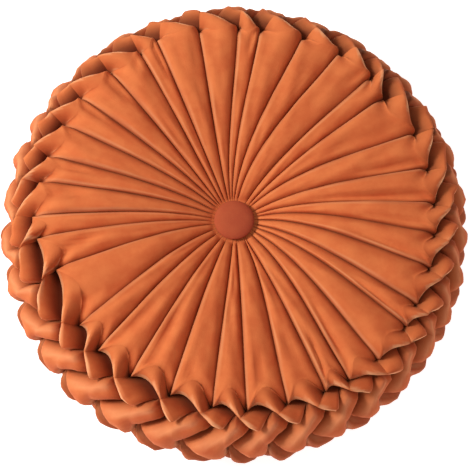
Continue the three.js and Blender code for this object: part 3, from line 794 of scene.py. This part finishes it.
def add_pleat(cover, index, back):
    """One pleat of the face or the back, from the rim in to the button."""
    rows = cover.rows[back]
    across, inward = np.meshgrid(steps(cover.cells), np.arange(rows + 1) / rows, indexing="ij")
    if back:
        lap, swell, angle_at = BACK_LAP, BACK_SWELL, back_angle
        station = mix(BACK_STATION + inset(index + 1, across), LAST_STATION, inward)
    else:
        lap, swell, angle_at = face_lap(index), FOLDS[index]["swell"], face_angle
        start = mix(corner(0, index)[1], corner(0, index + 1)[1], across)
        station = (FACE_STATION + start - inset(index, across)) * (1 - inward)
    from_neck = across if back else 1 - across
    lift, width = pleat_lift(cover, angle_at, index, across, from_neck, inward, station, swell, lap)
    angle = mix(angle_at(index, inward), angle_at(index + 1, inward), across)
    if not back:
        lift = lift - valley_depth(index, across, inward)
    section = pleat_section(across, from_neck, lap, inward)
    lift = lift + ripple_at(cover, angle, station) * section * (1 - inward**2)
    points = cover_point(angle, station, lift)
    fade = 1 - smooth((inward - LIP_FADE_START) / (1 - LIP_FADE_START))
    reach = cover.pleat_lip * np.minimum(1, width / FULL_WIDTH) * fade
    points = side_shift(points, 0, lap * lip(pleat_side(across, lap)) * reach)
    # Painted shade along the creases between the pleats
    from_crease = np.minimum(across, 1 - across) * width
    crease = CREASE_SHADE * np.exp(-from_crease / np.minimum(CREASE_WIDTH, CREASE_SHARE * width))
    base = cover_point(angle, station, 0 * lift)
    # Painted highlight on the sharp edge of the side that lies on top
    edge = PLEAT_HIGHLIGHT * edge_highlight(base, 0, lap > 0) * (1 - inward**2)
    cover.patch(points, crease, edge, back)


def nearness(index):
    """How far a fold lies on the near side of the picture: 0 at its top and 1 at its bottom."""
    return (1 - math.sin(math.radians(FOLDS[index % PLEATS]["rim"]))) / 2


def arch_height(index):
    """How far, in levels, a pleat's outer edge arches inwards: most on the near side."""
    return mix(ARCH_FAR, ARCH_NEAR, nearness(index))


def arch(index, along):
    """The level of a pleat's outer edge from the straight line between its crease and its tip."""
    return -arch_height(index) * np.sin(np.pi * along**ARCH_POWER)


def inset(index, across):
    """How far, in levels, the line where a pleat's outer end starts bends inwards."""
    return (SHOULDER + SHOULDER_PER_ARCH * arch_height(index)) * np.sin(np.pi * across)


def fold_lift(index, share):
    """Height in mm of a rim fold over the crease surface, from the share of its rise."""
    swell = mix(1, FOLDS[index % PLEATS]["swell"], SWELL_AT_RIM)
    return mix(-RIM_GROOVE, RIM_RISE * swell, share)


def add_scallop(cover, index, back):
    """The outer end of a pleat: it narrows to a neck, where the rim's flap goes on."""
    across, along = np.meshgrid(steps(cover.cells), steps(cover.cells), indexing="ij")
    if back:
        start, neck = corner(END_RING, index + 1), corner(END_RING, index)
        tip, flap, from_neck = corner(END_RING - 1, index), index, across
        bend, bow = -arch(index + 1, along), inset(index + 1, across)
        lap, swell, angle_at = BACK_LAP, BACK_SWELL, back_angle
    else:
        start, neck = corner(0, index), corner(0, index + 1)
        tip, flap, from_neck = corner(1, index + 1), index + 1, 1 - across
        bend, bow = arch(index, along), -inset(index, across)
        lap, swell, angle_at = face_lap(index), FOLDS[index]["swell"], face_angle
    level_line = mix(neck, start, from_neck[..., None])
    level_line[..., 1] += bow
    neck_line = mix(neck, tip, from_neck[..., None])
    spot = mix(level_line, neck_line, along[..., None])
    angle, station = spot[..., 0], FACE_STATION + spot[..., 1] + from_neck * bend
    at_rim = np.zeros_like(across)
    station_line = FACE_STATION + level_line[..., 1]
    pleat, _ = pleat_lift(cover, angle_at, index, across, from_neck, at_rim, station_line, swell, lap)
    if not back:
        pleat = pleat - valley_depth(index, across, at_rim)
    pleat = pleat + ripple_at(cover, angle, station) * rim_section(from_neck)
    crisp = mix(-RIM_GROOVE, pleat.max(), knife_section(from_neck, CRISP_CREST))
    pleat = mix(pleat, crisp, smooth(along / CRISP_END))
    lift = mix(pleat, fold_lift(flap, neck_section(from_neck)), smooth(along))
    points, base = cover_point(angle, station, lift), cover_point(angle, station, 0 * lift)
    pleat_lip = lap * lip(pleat_side(across, lap)) * cover.pleat_lip * (1 - smooth(along))
    own_lip = mix(LIP_AT_TOP, 1, nearness(index)) * cover.fold_lip
    edge_lip = lip(1 - from_neck) * own_lip * clear_of_ends(along)
    points = side_shift(points, 0, pleat_lip + (edge_lip if back else -edge_lip))
    # Painted highlight on the pleat's side that lies on top and on the scallop's outer edge; the
    # crease value is painted shade deep in the slits
    pleat_highlight = PLEAT_HIGHLIGHT * edge_highlight(base, 0, lap > 0) * (1 - smooth(along))
    edge = np.maximum(edge_highlight(base, 0, back) * clear_of_ends(along), pleat_highlight)
    cover.patch(points, depth_shade(lift), edge, not back)


def fold_share(kind, along, across):
    """Share of a rim fold's rise: its own section, the shared one at its joined end, and a drop
    at its free end."""
    from_free = 1 - along if kind["joined"] == "start" else along
    joint = neck_section(across) if kind["lean"] > 0 else crest_section(across)
    section = mix(joint, fold_section(across, kind), smooth((1 - from_free) / JOINT_REACH))
    if kind["joined"] == "end":
        return section * smooth(from_free / kind["drop"])
    return section * steep_sides(np.minimum(0.5, from_free / kind["drop"] / 2), END_STEEPNESS)


def fold_shades(base, lift, along, across, row, index):
    """Painted shade and painted highlight of a rim fold's points: painted shade in pits, slits and on
    the underside, and painted highlights on the sharp edges and the ridge."""
    kind = FOLD_KINDS[row["kind"]]
    # Painted shade in the pit under the pleat's edge, in the hole where the fold comes out, in its
    # slits and under the turned-over folds; at the picture's top the pit and the hole reach further,
    # past the part that is hidden
    hidden = HIDDEN_AT_TOP * (1 - nearness(index))
    pit = kind["pit"] * (1 - smooth((across - hidden) / PIT_REACH))
    hole = kind["hole"] * (1 - smooth((along - hidden) / HOLE_REACH))
    from_near, from_far = side_distance(base, 1, False), side_distance(base, 1, True)
    slit = kind["slit"] * np.exp(-np.minimum(from_near, from_far) / SLIT_WIDTH)
    under = UNDERSIDE_SHADE * (row["turned"] and kind["lean"] < 0) * smooth(along)
    dark = np.maximum.reduce([depth_shade(lift), pit, hole, slit, under])
    # Painted highlights on the far edge, the end edge and the ridge
    far_highlight = kind["far_lip"] * edge_highlight(base, 1, True) * clear_of_ends(along)
    end_highlight = kind["end_lip"] * edge_highlight(base, 0, True) * np.sin(np.pi * across)
    starting, ending = smooth(along / RIDGE_TURN), 1 - smooth((along - RIDGE_TURN) / (1 - RIDGE_TURN))
    ridge = kind["ridge"] * (starting if kind["joined"] == "end" else ending)
    ridge = ridge * np.exp(-(((from_near - RIDGE_PLACE) / RIDGE_WIDTH) ** 2))
    return dark, np.maximum.reduce([far_highlight, end_highlight, ridge])


def add_rim_fold(cover, row, index):
    """One fold of the rim, running from corner to corner with its lean."""
    kind, ring = FOLD_KINDS[row["kind"]], row["ring"]
    along, across = np.meshgrid(steps(cover.cells), steps(cover.cells), indexing="ij")
    run, aside = (1 - along, 1 - across) if row["turned"] else (along, across)
    to_right, to_left = (run, aside) if kind["lean"] > 0 else (aside, run)
    left, right = corner(ring + 1, index + row["left"]), corner(ring + 1, index + row["left"] + 1)
    low_side = mix(corner(ring, index), right, to_right[..., None])
    high_side = mix(left, corner(ring + 2, index), to_right[..., None])
    spot = mix(low_side, high_side, to_left[..., None])
    angle, level = spot[..., 0], spot[..., 1]
    if kind["lean"] > 0:
        level = level + (-1 if row["turned"] else 1) * (1 - across) * arch(index, along)
    station = FACE_STATION + level
    share = fold_share(kind, along, across)
    lift = fold_lift(index + row["band"], share)
    base = cover_point(angle, station, 0 * lift)
    points = cover_point(angle, station, lift + ripple_at(cover, angle, station) * share)
    sides = kind["far_lip"] * lip(1 - across) - kind["near_lip"] * lip(across)
    points = side_shift(points, 1, sides * clear_of_ends(along) * cover.fold_lip)
    end = kind["end_lip"] * lip(1 - along) * clear_of_ends(across)
    points = side_shift(points, 0, end * cover.fold_lip)
    dark, light = fold_shades(base, lift, along, across, row, index)
    cover.patch(points, dark, light, kind["lean"] > 0)


def add_hub(cover, back):
    """The flat disc that a button is seated on."""
    across = steps(cover.cells)[:-1]
    places = (np.arange(PLEATS)[:, None] + across[None, :]).ravel()
    places = np.append(places, PLEATS)
    angle_at, station = (back_angle, LAST_STATION) if back else (face_angle, 0)
    low = np.floor(places)
    angle = mix(angle_at(low, 1.0), angle_at(low + 1, 1.0), places - low)
    rim = cover_point(angle, np.full_like(places, station), 0)
    centre = np.broadcast_to([0.0, 0.0, HEIGHTS[station]], rim.shape)
    # The disc under the button gets full painted shade and no painted highlight
    cover.patch(np.stack([rim, centre], 1), 1.0, 0.0, back)


def link(name, mesh):
    """Puts a mesh into the scene as an object at the origin."""
    obj = bpy.data.objects.new(name, mesh)
    bpy.context.scene.collection.objects.link(obj)
    return obj


def fit_to_node(points, node):
    """Fits the plan of the points in mm to a node's box; heights stay as they are."""
    low, high = (np.array(value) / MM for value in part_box(node))
    own_low, own_high = points.min(0), points.max(0)
    scale = (high - low)[:2].min() / (own_high - own_low)[:2].max()
    middle = (own_low + own_high)[:2] / 2
    points[:, :2] = (points[:, :2] - middle) * scale + (low + high)[:2] / 2
    return points


def smooth_shade(obj):
    """Shades all of an object's faces smoothly."""
    obj.data.polygons.foreach_set("use_smooth", [True] * len(obj.data.polygons))
    obj.data.update()


class CUSHION_OT_cover(bpy.types.Operator):
    """Make the velvet cover: pleats on the face and the back and the smocked rim between them."""

    bl_idname = "cushion.cover"
    bl_label = "Velvet cover"

    def execute(self, context):
        cover = Cover(context.scene.cushion_cover)
        for index in range(PLEATS):
            add_pleat(cover, index, False)
            add_scallop(cover, index, False)
            for row in RIM_ROWS:
                add_rim_fold(cover, row, index)
            add_scallop(cover, index, True)
            add_pleat(cover, index, True)
        add_hub(cover, False)
        add_hub(cover, True)
        points, faces, creases, edges = cover.joined()
        points = fit_to_node(points, "cushion_body")
        # What would sink into the floor is pressed flat on it
        points[:, 2] = np.maximum(points[:, 2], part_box("cushion_body")[0][2] / MM)
        mesh = bpy.data.meshes.new("velvet_cover")
        mesh.from_pydata((points * MM).tolist(), [], faces)
        # The painted shade goes on as the crease attribute and the painted highlight as the edge
        # attribute
        for name, values in (("crease", creases), ("edge", edges)):
            mesh.attributes.new(name, "FLOAT", "POINT").data.foreach_set("value", values)
        mesh.update()
        obj = link("velvet_cover", mesh)
        smooth_shade(obj)
        obj.data.materials.append(pile_velvet(context.scene.cushion_velvet, "pile_velvet", False))
        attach(obj, "root")
        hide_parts("cushion_body")
        return {"FINISHED"}


def linear(hex_colour):
    """An sRGB hex colour as linear red, green, blue and 1."""
    parts = [int(hex_colour[k : k + 2], 16) / 255 for k in (0, 2, 4)]
    curve = [part / 12.92 if part <= 0.04045 else ((part + 0.055) / 1.055) ** 2.4 for part in parts]
    return curve + [1.0]


def add_node(tree, kind, inputs=(), **settings):
    """Adds a node with its settings and its inputs, each a value or another node's output."""
    node = tree.nodes.new(kind)
    for name, value in settings.items():
        setattr(node, name, value)
    for name, value in dict(inputs).items():
        if isinstance(value, bpy.types.NodeSocket):
            tree.links.new(value, node.inputs[name])
        else:
            node.inputs[name].default_value = value
    return node


def pile_colour(tree, look, place, button):
    """The pile is lighter where hands have brushed it flat, with painted light on the side that faces
    the key light, a pale painted highlight on sharp folds and dark red painted shade deep in a crease."""
    patches = add_node(
        tree,
        "ShaderNodeTexNoise",
        {"Vector": place, "Scale": 1 / (look.patch_mm * MM), "Detail": 3.0, "Roughness": 0.6},
    )
    spread = add_node(
        tree,
        "ShaderNodeMapRange",
        {"Value": patches.outputs["Fac"], "From Min": 0.3, "From Max": 0.7, "To Max": 0.3},
        interpolation_type="SMOOTHSTEP",
    )
    # Painted light: a surface that faces the key light is tinted toward the lighter colour, added to
    # the brushed patches
    normal = add_node(tree, "ShaderNodeNewGeometry").outputs["Normal"]
    lean = add_node(tree, "ShaderNodeVectorMath", {0: normal, 1: look.painted_light_from}, operation="DOT_PRODUCT")
    painted_key_light = add_node(
        tree,
        "ShaderNodeMapRange",
        {"Value": lean.outputs["Value"], "From Min": 0.2, "From Max": 1.0, "To Max": 0.6},
    )
    brushed_and_lit = add_node(
        tree,
        "ShaderNodeMath",
        {0: spread.outputs["Result"], 1: painted_key_light.outputs["Result"]},
        operation="ADD",
    )
    base, lighter = linear(look.pile), linear(look.brushed_and_lit)
    if button:
        base = linear(look.button)
        lighter = [mix(own, other, BUTTON_BRUSHED_AND_LIT) for own, other in zip(base, lighter)]
    colour = add_node(
        tree,
        "ShaderNodeMix",
        {"Factor": brushed_and_lit.outputs["Value"], "A": base, "B": lighter},
        data_type="RGBA",
    )
    # Painted highlight on sharp folds, then painted shade deep in the creases
    for attribute, tint in (("edge", look.edge), ("crease", look.depth)):
        value = add_node(tree, "ShaderNodeAttribute", attribute_name=attribute)
        amount = add_node(
            tree,
            "ShaderNodeMath",
            {0: value.outputs["Fac"], 1: PAINTED_LIGHT_STRENGTH},
            operation="MULTIPLY",
            use_clamp=True,
        )
        colour = add_node(
            tree,
            "ShaderNodeMix",
            {"Factor": amount.outputs["Value"], "A": colour.outputs["Result"], "B": linear(tint)},
            data_type="RGBA",
        )
    return colour.outputs["Result"]


def pile_velvet(look, name, button):
    """Polyester velvet, woven and cropped: a short dense pile, patchy where hands have brushed it,
    with a painted highlight where it bends over a fold and darker, redder painted shade deep in a
    crease."""
    material = bpy.data.materials.new(name)
    material.use_nodes = True
    tree = material.node_tree
    tree.nodes.clear()
    place = add_node(tree, "ShaderNodeTexCoord").outputs["Object"]
    # A real tuft is about 0.2 mm across, too fine to show, so the grain is drawn coarser
    tufts = add_node(
        tree,
        "ShaderNodeTexNoise",
        {"Vector": place, "Scale": 1 / (look.tuft_mm * MM), "Detail": 2.0, "Roughness": 0.7},
    )
    grain = add_node(
        tree,
        "ShaderNodeBump",
        {"Height": tufts.outputs["Fac"], "Strength": 0.35, "Distance": 0.4 * MM},
    )
    shader = add_node(
        tree,
        "ShaderNodeBsdfPrincipled",
        {
            "Base Color": pile_colour(tree, look, place, button),
            "Normal": grain.outputs["Normal"],
            "Roughness": 0.9,
            "Specular IOR Level": 0.2,
            "Sheen Weight": BUTTON_SHEEN if button else COVER_SHEEN,
            "Sheen Roughness": 0.4,
            "Sheen Tint": linear(look.glow),
        },
    )
    add_node(tree, "ShaderNodeOutputMaterial", {"Surface": shader.outputs["BSDF"]})
    return material


class CUSHION_OT_buttons(bpy.types.Operator):
    """Make the two covered buttons from flattened balls, each with a flat seat."""

    bl_idname = "cushion.buttons"
    bl_label = "Covered buttons"

    def execute(self, context):
        sizes = context.scene.cushion_button
        material = pile_velvet(context.scene.cushion_velvet, "button_pile_velvet", True)
        for node, up in (("front_button", 1), ("back_button", -1)):
            low, high = (Vector(value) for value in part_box(node))
            middle, half = (low + high) / 2, (high - low) / 2
            bpy.ops.object.select_all(action="DESELECT")
            bpy.ops.mesh.primitive_uv_sphere_add(
                segments=sizes.segments, ring_count=sizes.rings, radius=half.x, location=middle
            )
            obj = context.active_object
            obj.name = obj.data.name = node + "_cover"
            bpy.ops.object.mode_set(mode="EDIT")
            bpy.ops.mesh.select_all(action="SELECT")
            bpy.ops.transform.resize(value=(1, 1, half.z / half.x))
            bpy.ops.mesh.normals_make_consistent(inside=False)
            bpy.ops.object.mode_set(mode="OBJECT")
            bpy.ops.object.transform_apply(location=True, rotation=True, scale=True)
            button_section(obj, middle, half, up, sizes)
            smooth_shade(obj)
            obj.data.materials.append(material)
            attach(obj, "root")
            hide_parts(node)
        return {"FINISHED"}


def button_section(obj, middle, half, up, sizes):
    """Gives a flattened ball the section of a covered button: full at its rolled edge, a low dome
    on top and a flat seat."""
    for vertex in obj.data.vertices:
        x, y, z = vertex.co - middle
        level = up * z / half.z
        if level > 0:
            level = level**sizes.dome
        else:
            level = -(min(1.0, -level * sizes.seat) ** sizes.seat_curve)
        vertex.co.z = middle.z + up * level * half.z
        reach = math.hypot(x, y) / half.x
        if reach > AT_POLE:
            bulge = reach**sizes.fullness / reach
            vertex.co.x = middle.x + x * bulge
            vertex.co.y = middle.y + y * bulge


class CUSHION_OT_stage(bpy.types.Operator):
    """Make the white floor, the soft studio light and the camera."""

    bl_idname = "cushion.stage"
    bl_label = "Floor, light and camera"

    def execute(self, context):
        look = context.scene.cushion_stage
        bpy.ops.object.select_all(action="DESELECT")
        bpy.ops.mesh.primitive_plane_add(size=look.floor_width, location=(0, 0, CAD_BOX[0][2]))
        floor = context.active_object
        floor.name = "studio_floor"
        floor.data.materials.append(lit_acrylic())
        add_camera(context, look)
        for box in SOFT_BOXES:
            add_soft_box(context, box, look.key)
        context.scene.world = studio_sky(look)
        context.scene.view_settings.view_transform = "Standard"
        return {"FINISHED"}


def studio_sky(look):
    """A weak even light from all around, which the camera sees as a white backdrop."""
    world = bpy.data.worlds.new("studio_sky")
    world.use_nodes = True
    tree = world.node_tree
    background = tree.nodes["Background"]
    background.inputs["Color"].default_value = linear("FFFFFF")
    seen = add_node(tree, "ShaderNodeLightPath").outputs["Is Camera Ray"]
    strength = add_node(tree, "ShaderNodeMapRange", {"Value": seen, "To Min": look.sky, "To Max": 1.0})
    tree.links.new(strength.outputs["Result"], background.inputs["Strength"])
    return world


def lit_acrylic():
    """Opal acrylic of a product table, cast and lit from below: an even white that takes only a
    faint shadow."""
    material = bpy.data.materials.new("lit_opal_acrylic")
    material.use_nodes = True
    shader = material.node_tree.nodes["Principled BSDF"]
    shader.inputs["Base Color"].default_value = linear("E0E0E0")
    shader.inputs["Roughness"].default_value = 0.9
    shader.inputs["Specular IOR Level"].default_value = 0.1
    shader.inputs["Emission Color"].default_value = linear("FFFFFF")
    shader.inputs["Emission Strength"].default_value = 0.8
    return material


def add_camera(context, look):
    """A long lens looks down on the cushion from the near side, as in the photograph."""
    data = bpy.data.cameras.new("camera")
    camera = bpy.data.objects.new("camera", data)
    context.scene.collection.objects.link(camera)
    back = Vector((0, -math.cos(look.elevation), math.sin(look.elevation)))
    camera.location = Vector(look.aim) + back * look.distance
    camera.rotation_euler = (-back).to_track_quat("-Z", "Y").to_euler()
    data.lens = data.sensor_width * look.distance / look.frame_width
    context.scene.camera = camera


def add_soft_box(context, box, power):
    """A square soft box that faces the cushion."""
    data = bpy.data.lights.new(box["name"], "AREA")
    data.shape, data.size, data.energy = "SQUARE", box["width"], box["share"] * power
    lamp = bpy.data.objects.new(box["name"], data)
    context.scene.collection.objects.link(lamp)
    lamp.location = box["place"]
    lamp.rotation_euler = (-lamp.location).to_track_quat("-Z", "Y").to_euler()


class CUSHION_PT_panel(bpy.types.Panel):
    """Lists the cushion's pieces in the sidebar."""

    bl_label = "Pumpkin cushion"
    bl_space_type = "VIEW_3D"
    bl_region_type = "UI"
    bl_category = "Cushion"

    def draw(self, context):
        for operator in OPERATORS:
            self.layout.operator(operator.bl_idname)


OPERATORS = (CUSHION_OT_cover, CUSHION_OT_buttons, CUSHION_OT_stage)
GROUPS = (
    ("cushion_cover", CoverSizes),
    ("cushion_button", ButtonSizes),
    ("cushion_velvet", VelvetLook),
    ("cushion_stage", StageLook),
)


def register():
    """Adds the sizes, the operators and the panel."""
    for name, group in GROUPS:
        bpy.utils.register_class(group)
        setattr(bpy.types.Scene, name, PointerProperty(type=group))
    for item in (*OPERATORS, CUSHION_PT_panel):
        bpy.utils.register_class(item)


def unregister():
    """Takes out what register added, in the opposite order."""
    for item in (CUSHION_PT_panel, *reversed(OPERATORS)):
        bpy.utils.unregister_class(item)
    for name, group in reversed(GROUPS):
        delattr(bpy.types.Scene, name)
        bpy.utils.unregister_class(group)


def main():
    """Makes the cushion and its stage."""
    register()
    bpy.ops.cushion.cover()
    bpy.ops.cushion.buttons()
    bpy.ops.cushion.stage()


if __name__ == "__main__":
    main()
